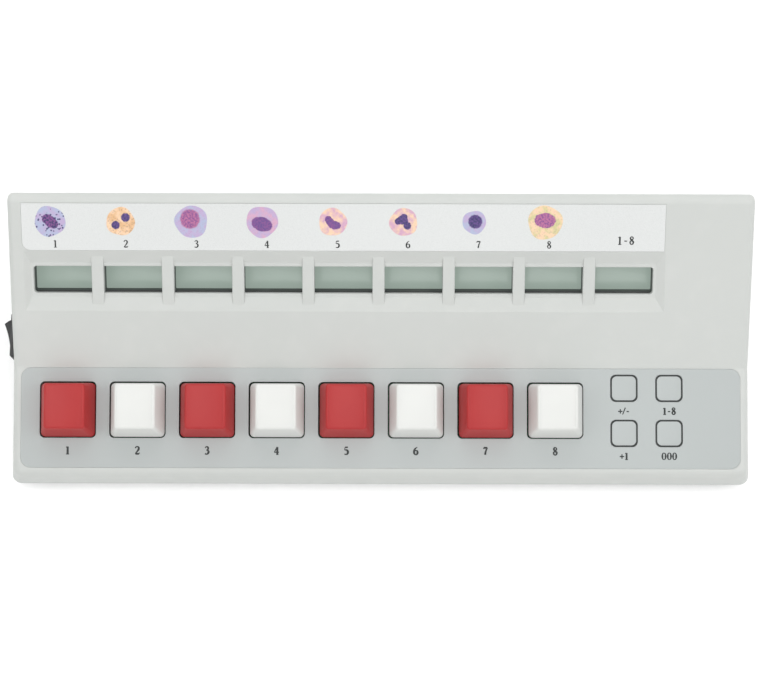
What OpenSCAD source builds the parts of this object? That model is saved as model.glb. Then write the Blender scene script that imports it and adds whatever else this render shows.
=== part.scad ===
// Differential cell counter: a low desk console with a gently sloping key deck in
// front and a steeper display face behind it. It has eight big counting keys, four
// small film keys, nine liquid-crystal windows in one shallow trough, and a power
// rocker in the left wall. Millimetres. X runs along the width, -Y is the user's
// side, Z is up, and the origin lies on the table under the middle of the housing.

/* [Housing] */
// Width over the side walls, at their top edges
body_w = 330; // [329:0.5:334]
// Run of the key deck, from the front wall back to the valley
deck_run = 48.5; // [48.5:0.5:51]
// Run of the display face, from the valley back to the rear wall
display_run = 72.7; // [72.7:0.1:75]
// Height of the valley line above the table
valley_z = 29.6; // [29.6:0.1:31]
// Rise of the key deck toward the valley, in degrees
deck_slope = 9; // [8:0.5:9]
// Rise of the display face toward the rear, in degrees
display_slope = 25.5; // [25:0.5:27]
// Thickness of the moulded walls
wall = 2.5; // [2.4:0.05:2.6]
// Height of the joint line between the two covers
parting_z = 11; // [10.5:0.1:11.5]
// Radius along the top edges of the side walls
edge_r = 2.5; // [2.4:0.1:2.8]
// Radius along the top edge of the front wall
front_edge_r = 4.4; // [4:0.1:4.5]
// Radius between the display face and the rear wall
rear_r = 4; // [3.5:0.1:4.5]
// Corner radius of the front wall at the joint line, seen from above
front_corner = 3.6; // [3.2:0.2:4.8]
// How far the walls lean out from their top edges down to the joint line
flare = 1.4; // [1:0.1:1.6]

/* [Counting keys] */
// Distance between neighbouring keys, and between neighbouring windows
pitch = 31.2; // [31:0.1:31.4]
// Place of the first key from the middle of the housing
first_key_x = -140.2; // [-141:0.1:-139.5]
// Place of the key row in front of the valley, along the deck
key_row = 19.2; // [19:0.1:19.4]
// Side of the square opening in the deck
key_opening = 25.3; // [25.1:0.1:25.5]
// Side of the key cap at its skirt
cap_base = 24.1; // [23.8:0.1:24.2]
// Width of the key cap's dished top
cap_top_w = 17.8; // [17.4:0.1:18.4]
// Height of the key cap above the deck
cap_height = 12.7; // [12:0.1:13.5]
// Stroke of a counting key
key_travel = 3.8; // [3:0.1:3.8]

/* [Film keys] */
// Side of a film key
pad_side = 12; // [11.7:0.1:12.2]
// Stroke of a film key
pad_travel = 0.4; // [0.3:0.05:0.5]

/* [Display] */
// Place of the first window from the middle of the housing
first_window_x = -141.5; // [-141.8:0.1:-141.2]
// Width of a window
window_w = 25.8; // [25.4:0.1:26.2]
// Height of a window, along the display face
window_h = 12.2; // [11.8:0.1:12.6]
// Middle of the window row behind the valley, along the display face
window_row = 39.7; // [39.5:0.1:39.9]
// Depth of the trough that the windows lie in
trough_depth = 1.8; // [1.5:0.1:2]

/* [Rocker] */
// Place of the rocker behind the valley
rocker_back = 14.7; // [14:0.1:15.5]
// Height of the rocker's middle above the table
rocker_z = 23; // [22.5:0.1:23.5]
// Swing of the rocker between its two positions, in degrees
rocker_swing = 28; // [24:1:28]

/* [Hidden] */

$fn = 48;

// Colours of the moulded and printed parts
housing_grey = [0.83, 0.84, 0.82];
film_grey = [0.75, 0.78, 0.78];
label_white = [0.92, 0.93, 0.92];
key_red = [0.75, 0.24, 0.23];
key_white = [0.93, 0.93, 0.92];
board_green = [0.10, 0.38, 0.22];
lcd_green = [0.60, 0.66, 0.61];
part_black = [0.12, 0.12, 0.12];
steel = [0.72, 0.72, 0.74];

// The side view: front wall, valley and rear wall
front_y = -(deck_run + display_run) / 2;
rear_y = -front_y;
valley_y = front_y + deck_run;
mid_slope = (deck_slope + display_slope) / 2;
half_bend = (display_slope - deck_slope) / 2;
inner_x = body_w / 2 - wall;

// The table, the feet, the floor and the joint between the covers
foot_h = 2;
foot_sink = 0.5;
foot_d = 12;
floor_top = foot_h + wall;
joint_gap = 0.4;
lip_h = 2;
rim_t = wall + flare;
lip_inset = 2.2;
lip_play = 0.1;
tray_draft = 1.9;

// Film on the deck: its recess, its thickness and its outline
film_recess = 0.3;
film_t = 0.4;
film_w = 322.4;
film_back = -0.4;
film_front = -45.1;
film_corner = 4.5;
film_play = 0.05;
opening_corner = 2.2;

// Label above the windows, in distances along the display face
label_left = -158.7;
label_right = 125.4;
label_low = 53.2;
label_high = 74.2;
label_t = 0.3;
label_recess = 0.25;
label_corner = 3.6;

// Trough: its rim, and the ribs between its windows
trough_left = -158.1;
trough_right = 125.9;
trough_low = 25.8;
trough_high = 52.8;
lip_chamfer = 0.5;
rib_top = -0.7;
rib_round = 0.4;
rib_low = 28.1;
rib_high = 50.9;
window_count = 9;
backing_t = 2.2;
window_low = window_row - window_h / 2;
window_high = window_row + window_h / 2;
window_floor = -trough_depth;
backing_low = window_floor - backing_t;

// Levels under the deck, measured square to it, downward negative
key_count = 8;
skirt_low = -1.5;
switch_top = -5;
board_top = -13.3;
board_t = 1.6;
slider_top = switch_top + key_travel + 0.2;
well_floor = board_top + 1.3;
lip_low = switch_top - 1.2;
flange_top = lip_low - 0.05;
slider_low = flange_top - 1.05;
spring_top = -2.2;
collar_low = -5.5;
collar_t = 1.4;

// Levels under the display face
lcd_top = -9.7;
lcd_t = 2.8;
display_board_top = lcd_top - lcd_t;
mask_top = backing_low - 0.2;
mask_shift = 0.3;

// Film keys: two columns, two rows, and the switches under them
pad_columns = [109.1, 129.3];
pad_half_rows = 10.1;
pad_low = -1;
pad_top = 0.2;
pad_crown = 0.15;
pad_pocket = -1.7;
pad_corner = 2.4;
pad_play = 0.15;
pad_post_d = 3.6;
pad_post_low = -7.8;
pad_guide_low = -4.5;
tact_side = 6;
tact_h = 3.5;
tact_plunger_top = pad_post_low - pad_travel - 0.1;

// Screws: one size throughout
screw_shank_d = 2.4;
screw_pilot_d = 2.5;
screw_hole_d = 3.2;
screw_len = 6;
screw_head_d = 5.6;
screw_head_h = 2;
pilot_depth = 4.8;
head_recess_d = 6.4;
shoulder_t = 1.6;
boss_d = 7;
standoff_d = 6;
case_boss_x = [-150, 0, 150];
case_boss_front = front_y + 7.1;
case_boss_rear = rear_y - 8.6;
key_board_screw_x = [first_key_x + pitch / 2, first_key_x + 3.5 * pitch, first_key_x + 7.5 * pitch];
key_board_screw_v = [-4.5, -34.5];
display_screw_x = [first_window_x + pitch / 2, first_window_x + 3.5 * pitch, first_window_x + 7.5 * pitch];
display_screw_d = [29, 51.5];

// Rocker switch: snapped into the left wall, its pivot upright
rocker_y = valley_y + rocker_back;
bezel_l = 21;
bezel_h = 15;
bezel_t = 1.9;
bezel_corner = 1.5;
frame_l = 19;
frame_h = 12.8;
frame_depth = 13;
frame_play = 0.1;
paddle_r = 7.6;
paddle_h = 9.8;
paddle_play = 0.2;
pivot_in = 0.5;
pivot_d = 3;
pivot_play = 0.05;

// Battery bay: two round cells side by side over a sliding door
bay_x = 92;
bay_l = 57;
bay_front = 19.5;
bay_w = 30;
bay_wall = 1.5;
bay_top = 20.5;
cell_d = 14.2;
cell_l = 49.2;
cell_pitch = 14.8;
cell_z = 12;
nub_d = 5.5;
nub_l = 1;
contact_t = 0.5;
contact_side = 11;
contact_bump = 0.8;
door_play = 0.2;
door_front = 17;
door_half = 30;
door_t = 1.7;
groove_reach = 1.5;
groove_low = foot_h + 0.9;
door_roof = 5.4;

// ---------------------------------------------------------------- frames

// Places a child in the deck's own frame: x along the row, y up the slope, z square to it
module on_deck() {
    translate([0, valley_y, valley_z])
        rotate([deck_slope, 0, 0])
            children();
}

// Places a child in the display face's own frame
module on_display() {
    translate([0, valley_y, valley_z])
        rotate([display_slope, 0, 0])
            children();
}

// Places a child over the middle of counting key i, counted from 0
module at_key(i) {
    on_deck()
        translate([first_key_x + i * pitch, -key_row, 0])
            children();
}

// Places a child over film key i: rows from the back, columns from the left
module at_pad(i) {
    on_deck()
        translate([pad_columns[i % 2], -key_row + (i < 2 ? pad_half_rows : -pad_half_rows), 0])
            children();
}

// Places a child over the middle of window i, counted from 0
module at_window(i) {
    on_display()
        translate([first_window_x + i * pitch, window_row, 0])
            children();
}

// Stands a side-view outline (y, z) up and sweeps it along X between two places
module sweep_x(from_x, to_x) {
    translate([from_x, 0, 0])
        rotate([90, 0, 90])
            linear_extrude(to_x - from_x)
                children();
}

// Height of the deck and of the display face at y, sunk square to the face by a depth
function deck_z(y, sunk = 0) = valley_z + (y - valley_y) * tan(deck_slope) - sunk / cos(deck_slope);
function display_z(y, sunk = 0) =
    valley_z + (y - valley_y) * tan(display_slope) - sunk / cos(display_slope);

// Point in the side view that lies a depth under both faces at the valley
function under_valley(depth) = [
    valley_y + depth * sin(mid_slope) / cos(half_bend),
    valley_z - depth * cos(mid_slope) / cos(half_bend)
];

// ---------------------------------------------------------------- outlines

module rounded_rect(w, h, r) {
    square([w - 2 * r, h], center = true);
    square([w, h - 2 * r], center = true);
    for (x = [-1, 1], y = [-1, 1])
        translate([x * (w / 2 - r), y * (h / 2 - r)])
            circle(r);
}

// Outline of the housing at its joint line, drawn in from the outer walls
module plan_outline(inset) {
    half = body_w / 2 + flare - inset;
    front = front_y - flare + inset;
    rear = rear_y + flare - inset;
    front_round = max(front_corner - inset, 0.5);
    rear_round = max(edge_r - inset, 0.5);
    translate([-half + front_round, front])
        square([2 * (half - front_round), rear - rear_round - front]);
    translate([-half, front + front_round])
        square([2 * half, rear - rear_round - front - front_round]);
    translate([-half + rear_round, front + front_round])
        square([2 * (half - rear_round), rear - front - front_round]);
    for (s = [-1, 1]) {
        translate([s * (half - front_round), front + front_round])
            circle(front_round);
        translate([s * (half - rear_round), rear - rear_round])
            circle(rear_round);
    }
}

// ---------------------------------------------------------------- housing

// Disc with a full round edge
module round_disc(outer_r, edge) {
    rotate_extrude()
        intersection() {
            translate([outer_r - edge, 0])
                circle(edge, $fn = 32);
            translate([0, -edge])
                square([outer_r, 2 * edge]);
        }
}

// One side's upright at the valley, with its round top tipped to the face it carries
module valley_column(side, slope, low_z) {
    c = under_valley(edge_r);
    translate([side * (body_w / 2 - edge_r), c[0], c[1]])
        rotate([slope, 0, 0])
            round_disc(edge_r, edge_r);
    translate([side * (body_w / 2 + flare - edge_r), c[0], low_z])
        cylinder(r = edge_r, h = 1, $fn = 32);
}

// Outer form of the top cover: two convex blocks that meet in a sharp valley
module housing_form(low_z) {
    disc_y = front_y + front_edge_r;
    rear_disc_y = rear_y - rear_r;
    hull()
        for (s = [-1, 1]) {
            valley_column(s, deck_slope, low_z);
            translate([s * (body_w / 2 - front_edge_r), disc_y, deck_z(disc_y, front_edge_r)])
                sphere(front_edge_r, $fn = 48);
            translate([s * (body_w / 2 + flare - front_corner), front_y - flare + front_corner, low_z])
                cylinder(r = front_corner, h = 1, $fn = 32);
        }
    hull()
        for (s = [-1, 1]) {
            valley_column(s, display_slope, low_z);
            translate([s * (body_w / 2 - edge_r), rear_disc_y, display_z(rear_disc_y, rear_r)])
                rotate([display_slope, 0, 0])
                    rotate([0, 90, 0])
                        round_disc(rear_r, edge_r);
            translate([s * (body_w / 2 + flare - edge_r), rear_y + flare - edge_r, low_z])
                cylinder(r = edge_r, h = 1, $fn = 32);
        }
}

// Hollow inside the covers, a wall's thickness under every face
module housing_hollow(low_z) {
    bevel_y = rear_y - wall - 3;
    intersection() {
        sweep_x(-inner_x, inner_x)
            polygon([
                [front_y + wall, low_z],
                [front_y + wall, deck_z(front_y + wall, wall)],
                under_valley(wall),
                [bevel_y, display_z(bevel_y, wall)],
                [rear_y - wall, display_z(bevel_y, wall) - 2.5],
                [rear_y - wall, low_z]
            ]);
        translate([0, 0, low_z])
            linear_extrude(80)
                plan_outline(rim_t);
    }
}

// Keeps only what lies deeper than a depth under the deck or the display face
module below_faces(depth) {
    p = under_valley(depth);
    intersection() {
        children();
        sweep_x(-body_w, body_w)
            polygon([
                [front_y, 0],
                [front_y, deck_z(front_y, depth)],
                p,
                [rear_y, display_z(rear_y, depth)],
                [rear_y, 0]
            ]);
    }
}

// Screw boss that hangs from the cover's top down to the joint line, with four gussets
module hanging_boss(x, y) {
    gusset_reach = 5.5;
    gusset_t = 1.2;
    translate([x, y, parting_z]) {
        cylinder(d = boss_d, h = 60);
        translate([-gusset_reach, -gusset_t / 2, 4])
            cube([2 * gusset_reach, gusset_t, 60]);
        translate([-gusset_t / 2, -gusset_reach, 4])
            cube([gusset_t, 2 * gusset_reach, 60]);
    }
}

// Wedge-sided pan sunk in the display face
module trough_cut() {
    above = 1;
    rise = (trough_depth + above) / trough_depth;
    window_left = first_window_x - window_w / 2;
    window_right = first_window_x + (window_count - 1) * pitch + window_w / 2;
    on_display()
        intersection() {
            sweep_x(trough_left - 10, trough_right + 10)
                polygon([
                    [window_low, window_floor - lip_chamfer],
                    [window_high, window_floor - lip_chamfer],
                    [window_high + lip_chamfer, window_floor],
                    [window_high + (trough_high - window_high) * rise, above],
                    [window_low - (window_low - trough_low) * rise, above],
                    [window_low - lip_chamfer, window_floor]
                ]);
            translate([0, trough_high + 10, 0])
                rotate([90, 0, 0])
                    linear_extrude(trough_high - trough_low + 20)
                        polygon([
                            [window_left, window_floor - lip_chamfer],
                            [window_right, window_floor - lip_chamfer],
                            [window_right + lip_chamfer, window_floor],
                            [window_right + (trough_right - window_right) * rise, above],
                            [window_left - (window_left - trough_left) * rise, above],
                            [window_left - lip_chamfer, window_floor]
                        ]);
        }
}

// Window i, square at its corners but for the outer ones of the row's two ends
module window_outline(i) {
    r = 1.4;
    if (i > 0 && i < window_count - 1) {
        square([window_w, window_h], center = true);
    } else {
        side = i == 0 ? 1 : -1;
        rounded_rect(window_w, window_h, r);
        translate([side * r, 0])
            square([window_w - 2 * r, window_h], center = true);
    }
}

// Round-topped rib between windows i and i + 1
module window_rib(i) {
    rib_w = pitch - window_w;
    on_display()
        translate([first_window_x + (i + 0.5) * pitch, rib_high, 0])
            rotate([90, 0, 0])
                linear_extrude(rib_high - rib_low) {
                    translate([-rib_w / 2, backing_low])
                        square([rib_w, rib_top - rib_round - backing_low]);
                    translate([-rib_w / 2 + rib_round, backing_low])
                        square([rib_w - 2 * rib_round, rib_top - backing_low]);
                    for (s = [-1, 1])
                        translate([s * (rib_w / 2 - rib_round), rib_top - rib_round])
                            circle(rib_round);
                }
}

// Everything that the top cover carries on its inner side
module top_cover_inside() {
    // thicker floor under the trough
    on_display()
        translate([trough_left + 1, window_low - 4, backing_low])
            cube([trough_right - trough_left - 2, window_h + 8, wall]);
    // collars that guide the key caps
    for (i = [0:key_count - 1])
        at_key(i)
            translate([0, 0, collar_low])
                linear_extrude(-collar_low - wall / 2)
                    square(key_opening + 2 * collar_t, center = true);
    // guide tubes under the film keys
    for (i = [0:3])
        at_pad(i)
            translate([0, 0, pad_guide_low])
                cylinder(d = 8, h = -pad_guide_low - wall / 2);
    // standoffs for the key board
    for (x = key_board_screw_x, v = key_board_screw_v)
        on_deck()
            translate([x, v, board_top])
                cylinder(d = standoff_d, h = -board_top - wall / 2);
    // standoffs for the display board
    for (x = display_screw_x, d = display_screw_d)
        on_display()
            translate([x, d, display_board_top])
                cylinder(d = standoff_d - 0.5, h = -display_board_top - wall);
    // bosses for the case screws
    below_faces(wall / 2)
        for (x = case_boss_x, y = [case_boss_front, case_boss_rear])
            hanging_boss(x, y);
}

module top_cover() {
    low_z = parting_z + joint_gap;
    color(housing_grey)
        difference() {
            union() {
                difference() {
                    housing_form(low_z);
                    housing_hollow(low_z - 1);
                    trough_cut();
                }
                top_cover_inside();
                for (i = [0:window_count - 2])
                    window_rib(i);
            }
            // rebate over the lower cover's lip
            translate([0, 0, low_z - 1])
                linear_extrude(lip_h + 1)
                    difference() {
                        plan_outline(lip_inset - lip_play);
                        plan_outline(rim_t + 0.5);
                    }
            // shallow beds of the deck film and the label
            on_deck()
                translate([0, (film_back + film_front) / 2, -film_recess])
                    linear_extrude(5)
                        rounded_rect(film_w + 2 * film_play, film_back - film_front + 2 * film_play,
                                     film_corner);
            on_display()
                translate([0, 0, -label_recess])
                    linear_extrude(5)
                        label_outline(film_play);
            // openings for the keys, the film keys and the windows
            for (i = [0:key_count - 1])
                at_key(i)
                    translate([0, 0, collar_low - 1])
                        linear_extrude(10)
                            rounded_rect(key_opening, key_opening, opening_corner);
            for (i = [0:3])
                at_pad(i) {
                    translate([0, 0, pad_pocket])
                        linear_extrude(5)
                            rounded_rect(pad_side + 2 * pad_play, pad_side + 2 * pad_play,
                                         pad_corner + pad_play);
                    translate([0, 0, pad_guide_low - 1])
                        cylinder(d = pad_post_d + 1, h = 10);
                }
            for (i = [0:window_count - 1])
                at_window(i)
                    translate([0, 0, backing_low - 1])
                        linear_extrude(10)
                            window_outline(i);
            // flat bed and cut-out for the rocker switch
            translate([-body_w / 2 - 5, rocker_y, rocker_z])
                rotate([90, 0, 90])
                    linear_extrude(5)
                        rounded_rect(bezel_l + 0.6, bezel_h + 0.6, bezel_corner + 0.3);
            translate([-body_w / 2 - 1, rocker_y, rocker_z])
                rotate([90, 0, 90])
                    linear_extrude(wall + 2)
                        square([frame_l + 2 * frame_play, frame_h + 2 * frame_play], center = true);
            // pilot holes for the screws
            for (x = key_board_screw_x, v = key_board_screw_v)
                on_deck()
                    translate([x, v, board_top - 1])
                        cylinder(d = screw_pilot_d, h = pilot_depth + 1);
            for (x = display_screw_x, d = display_screw_d)
                on_display()
                    translate([x, d, display_board_top - 1])
                        cylinder(d = screw_pilot_d, h = pilot_depth + 1);
            for (x = case_boss_x, y = [case_boss_front, case_boss_rear])
                translate([x, y, parting_z - 1])
                    cylinder(d = screw_pilot_d, h = pilot_depth + 1);
        }
}

// Solid block of the bottom cover, whose walls lean in toward the floor
module tray_block() {
    rim_h = 1;
    hull() {
        translate([0, 0, foot_h])
            linear_extrude(0.01)
                plan_outline(tray_draft);
        translate([0, 0, parting_z - rim_h])
            linear_extrude(rim_h)
                plan_outline(0);
    }
}

module bottom_cover() {
    bay_half = bay_l / 2;
    color(housing_grey)
        difference() {
            union() {
                difference() {
                    tray_block();
                    translate([0, 0, floor_top])
                        linear_extrude(20)
                            plan_outline(rim_t);
                }
                // lip that locates the top cover
                translate([0, 0, floor_top])
                    linear_extrude(parting_z + lip_h - floor_top)
                        difference() {
                            plan_outline(lip_inset);
                            plan_outline(rim_t);
                        }
                // sleeves for the case screws
                for (x = case_boss_x, y = [case_boss_front, case_boss_rear])
                    translate([x, y, foot_h + 0.5])
                        cylinder(d = head_recess_d + 2.6, h = parting_z - foot_h - 0.5);
                // battery bay, and the raised floor over the door's way out
                translate([bay_x - bay_half - bay_wall, bay_front - bay_wall, foot_h + 1])
                    cube([bay_l + 2 * bay_wall, bay_w + 2 * bay_wall, bay_top + bay_wall - foot_h - 1]);
                translate([bay_x - door_half - 3, bay_front + bay_w, foot_h + 1])
                    cube([2 * door_half + 6, rear_y - wall / 2 - bay_front - bay_w, door_roof - foot_h - 1]);
                translate([bay_x - door_half - 3, door_front - 2, foot_h + 1])
                    cube([2 * door_half + 6, bay_w + 4, door_roof - foot_h - 1]);
                // stiffening ribs on the floor
                for (x = [-120, -75, -30, 15])
                    translate([x, front_y + wall / 2, floor_top - 0.5])
                        cube([1.5, rear_y - front_y - wall, 2]);
            }
            // screw holes, with deep recesses for the heads
            for (x = case_boss_x, y = [case_boss_front, case_boss_rear]) {
                translate([x, y, foot_h - 1])
                    cylinder(d = head_recess_d, h = parting_z - shoulder_t - foot_h + 1);
                translate([x, y, foot_h])
                    cylinder(d = screw_hole_d, h = parting_z);
            }
            // beds of the feet
            for (p = foot_places)
                translate([p[0], p[1], foot_h - 1])
                    cylinder(d = foot_d + 0.4, h = 1 + foot_sink);
            // hollow of the battery bay, open downward
            translate([bay_x - bay_half, bay_front, foot_h - 1])
                cube([bay_l, bay_w, bay_top - foot_h + 1]);
            // way of the door, with a groove along each side
            translate([bay_x - door_half, door_front, foot_h - 1])
                cube([2 * door_half, rear_y, door_t + 1]);
            translate([bay_x - door_half - groove_reach, door_front, groove_low])
                cube([2 * (door_half + groove_reach), rear_y, foot_h + door_t - groove_low]);
        }
}

foot_places = [for (x = [-1, 1], y = [-1, 1]) [x * (body_w / 2 - 32), y * (rear_y - 11)]];

// ---------------------------------------------------------------- films

module label_outline(grow) {
    w = label_right - label_left + 2 * grow;
    h = label_high - label_low + 2 * grow;
    r = label_corner;
    translate([label_left - grow, label_low - grow]) {
        translate([r, 0])
            square([w - r, h]);
        translate([0, r])
            square([w, h - r]);
        translate([r, r])
            circle(r);
    }
}

module label_strip() {
    color(label_white)
        on_display()
            translate([0, 0, -label_recess])
                linear_extrude(label_t)
                    label_outline(0);
}

module deck_overlay() {
    color(film_grey)
        on_deck()
            translate([0, 0, -film_recess])
                linear_extrude(film_t)
                    difference() {
                        translate([0, (film_back + film_front) / 2])
                            rounded_rect(film_w, film_back - film_front, film_corner);
                        for (i = [0:key_count - 1])
                            translate([first_key_x + i * pitch, -key_row])
                                rounded_rect(key_opening, key_opening, opening_corner);
                        for (x = pad_columns, s = [-1, 1])
                            translate([x, -key_row + s * pad_half_rows])
                                rounded_rect(pad_side + 2 * pad_play, pad_side + 2 * pad_play,
                                             pad_corner + pad_play);
                    }
}

// ---------------------------------------------------------------- electronics

// Circuit board plate with its screw holes, lying under z = 0
module board_plate(left, right, low, high, xs, ys) {
    translate([0, 0, -board_t])
        difference() {
            translate([left, low, 0])
                cube([right - left, high - low, board_t]);
            for (x = xs, y = ys)
                translate([x, y, -1])
                    cylinder(d = screw_hole_d, h = board_t + 2);
        }
}

module key_board() {
    color(board_green)
        on_deck()
            translate([0, 0, board_top])
                board_plate(-157, 142, -37.5, -1.5, key_board_screw_x, key_board_screw_v);
}

module display_board() {
    color(board_green)
        on_display()
            translate([0, 0, display_board_top])
                board_plate(-157.5, 125, 25, 55.5, display_screw_x, display_screw_d);
}

// Four push switches on the key board, one under each film key
module tact_switches() {
    color(part_black)
        for (i = [0:3])
            at_pad(i)
                translate([0, 0, board_top]) {
                    translate([-tact_side / 2, -tact_side / 2, 0])
                        cube([tact_side, tact_side, tact_h]);
                    cylinder(d = 3.4, h = tact_plunger_top - board_top);
                }
}

// Side-view centre line of the flat cable, from the key board up to the display board
function ribbon_point(t) =
    let (a = ribbon_start(), b = ribbon_end(), ease = t * t * (3 - 2 * t))
    [a[0] + (b[0] - a[0]) * t, a[1] + (b[1] - a[1]) * ease];
function on_side(frame_slope, v, w) = [
    valley_y + v * cos(frame_slope) - w * sin(frame_slope),
    valley_z + v * sin(frame_slope) + w * cos(frame_slope)
];
function ribbon_start() = on_side(deck_slope, -7, board_top - board_t - 4.4);
function ribbon_end() = on_side(display_slope, 30, display_board_top - board_t - 4.4);

// Flat cable between the boards, with a plug on the underside of each
module board_ribbon() {
    steps = 14;
    ribbon_t = 0.9;
    ribbon_w = 20;
    ribbon_x = 20;
    upper = [for (k = [0:steps]) ribbon_point(k / steps)];
    lower = [for (k = [steps:-1:0]) ribbon_point(k / steps) - [0, ribbon_t]];
    color([0.6, 0.6, 0.62]) {
        sweep_x(ribbon_x - ribbon_w / 2, ribbon_x + ribbon_w / 2)
            polygon(concat(upper, lower));
        on_deck()
            translate([ribbon_x - 13, -10, board_top - board_t - 5])
                cube([26, 6, 5]);
        on_display()
            translate([ribbon_x - 13, 27, display_board_top - board_t - 5])
                cube([26, 6, 5]);
    }
}

// Liquid-crystal module: two glass plates, the lower one wider for its contacts, a thin
// polarising film on top, and a black mask that holds them and shades the window's sides.
// It sits a little up the slope, so that the mask's low bar shows in the window.
module lcd(i) {
    glass_w = 28.4;
    lower_h = 14.6;
    upper_h = 13;
    mask_w = 29.8;
    mask_h = 16.2;
    play = 0.1;
    at_window(i)
        translate([0, mask_shift, display_board_top]) {
            color(lcd_green) {
                box_on(glass_w, lower_h, lcd_t / 2);
                box_on(glass_w, upper_h, lcd_t - 0.3);
                box_on(glass_w - 1.2, upper_h - 1, lcd_t);
            }
            color(part_black)
                difference() {
                    box_on(mask_w, mask_h, mask_top - display_board_top);
                    translate([0, 0, -1]) {
                        box_on(window_w + 2 * play, window_h + 2 * (play - mask_shift), 20);
                        box_on(glass_w + 2 * play, lower_h + 2 * play, lcd_t + 1 + play);
                    }
                }
        }
}

// Block of a given height, centred on the middle of its lower face
module box_on(w, l, h) {
    translate([-w / 2, -l / 2, 0])
        cube([w, l, h]);
}

// ---------------------------------------------------------------- key switch

// Plug-shaped cross that joins the stem to the cap
module cross(arm, t, h) {
    translate([-arm / 2, -t / 2, 0])
        cube([arm, t, h]);
    translate([-t / 2, -arm / 2, 0])
        cube([t, arm, h]);
}

// Switch body: wide foot, tapered shoulders, and a stepped well for the slider
module switch_housing(i) {
    foot_side = 15.6;
    foot_t = 4;
    shoulder_side = 11.5;
    slider_way = 7.4;
    flange_way = 8.9;
    color(part_black)
        at_key(i)
            difference() {
                intersection() {
                    translate([0, foot_side / 2, 0])
                        rotate([90, 0, 0])
                            linear_extrude(foot_side)
                                switch_profile(foot_side, foot_t, shoulder_side);
                    sweep_x(-foot_side / 2, foot_side / 2)
                        switch_profile(foot_side, foot_t, shoulder_side);
                }
                translate([-slider_way / 2, -slider_way / 2, lip_low - 1])
                    cube([slider_way, slider_way, 10]);
                translate([-flange_way / 2, -flange_way / 2, well_floor])
                    cube([flange_way, flange_way, lip_low - well_floor]);
            }
}

// Half of the switch body's shape: its outline seen from one side
module switch_profile(foot_side, foot_t, shoulder_side) {
    polygon([
        [-foot_side / 2, board_top],
        [foot_side / 2, board_top],
        [foot_side / 2, board_top + foot_t],
        [shoulder_side / 2, switch_top],
        [-shoulder_side / 2, switch_top],
        [-foot_side / 2, board_top + foot_t]
    ]);
}

// Slider with a stop flange, a blind bore for the spring and a cross on top
module key_stem(i) {
    slider_side = 7;
    flange_side = 8.4;
    color([0.55, 0.33, 0.18])
        at_key(i)
            difference() {
                union() {
                    translate([-slider_side / 2, -slider_side / 2, slider_low])
                        cube([slider_side, slider_side, slider_top - slider_low]);
                    translate([-flange_side / 2, -flange_side / 2, slider_low])
                        cube([flange_side, flange_side, flange_top - slider_low]);
                    translate([0, 0, slider_top])
                        cross(4, 1.25, 4.8);
                }
                translate([0, 0, slider_low - 1])
                    cylinder(d = 5.2, h = spring_top - slider_low + 1);
            }
}

// Return spring between the well's floor and the slider
module key_spring(i) {
    color(steel)
        at_key(i)
            translate([0, 0, well_floor])
                rotate_extrude()
                    translate([1.9, 0])
                        square([0.4, spring_top - well_floor]);
}

// Key cap: upright skirt, steep front, sloping sides and a top dished across its width
module keycap(i) {
    back_lean = 0.6;
    front_lean = 3.6;
    skirt_round = 1.8;
    top_round = 1.3;
    skirt_h = 2.2;
    shell_t = 1.6;
    dish_r = 42;
    dish_depth = 0.8;
    boss_r = 3.2;
    half = cap_base / 2;
    top_half = cap_top_w / 2;
    color(i % 2 == 0 ? key_red : key_white)
        at_key(i) {
            difference() {
                hull() {
                    for (x = [-1, 1], y = [-1, 1])
                        translate([x * (half - skirt_round), y * (half - skirt_round), skirt_low])
                            cylinder(r = skirt_round, h = skirt_h, $fn = 32);
                    for (x = [-1, 1], y = [-half + front_lean + top_round, half - back_lean - top_round])
                        translate([x * (top_half - top_round), y, cap_height - top_round])
                            sphere(top_round, $fn = 24);
                }
                translate([0, half, cap_height - dish_depth + dish_r])
                    rotate([90, 0, 0])
                        cylinder(r = dish_r, h = cap_base, $fn = 180);
                hull() {
                    translate([-half + shell_t, -half + shell_t, skirt_low - 1])
                        cube([cap_base - 2 * shell_t, cap_base - 2 * shell_t, 1.5]);
                    translate([-top_half + shell_t, -half + front_lean + shell_t, cap_height - 3])
                        cube([cap_top_w - 2 * shell_t, cap_base - front_lean - back_lean - 2 * shell_t, 0.6]);
                }
            }
            difference() {
                translate([0, 0, slider_top])
                    cylinder(r = boss_r, h = cap_height - 2 - slider_top);
                translate([0, 0, slider_top - 1])
                    cross(4.1, 1.35, 6);
            }
        }
}

// ---------------------------------------------------------------- film keys

// Film key: a pillowed tile that lies flush with the film, with a post to its switch
module function_pad(i) {
    crown_in = 0.5;
    color(film_grey)
        at_pad(i) {
            translate([0, 0, pad_low])
                linear_extrude(pad_top - pad_low)
                    rounded_rect(pad_side, pad_side, pad_corner);
            translate([0, 0, pad_top])
                linear_extrude(pad_crown)
                    rounded_rect(pad_side - 2 * crown_in, pad_side - 2 * crown_in, pad_corner - crown_in);
            translate([0, 0, pad_post_low])
                cylinder(d = pad_post_d, h = pad_low - pad_post_low);
        }
}

// ---------------------------------------------------------------- rocker

// Places a child at the rocker: x along the wall toward the rear, y up, z outward
module at_rocker() {
    translate([-body_w / 2, rocker_y, rocker_z])
        rotate([90, 0, -90])
            mirror([1, 0, 0])
                children();
}

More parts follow.
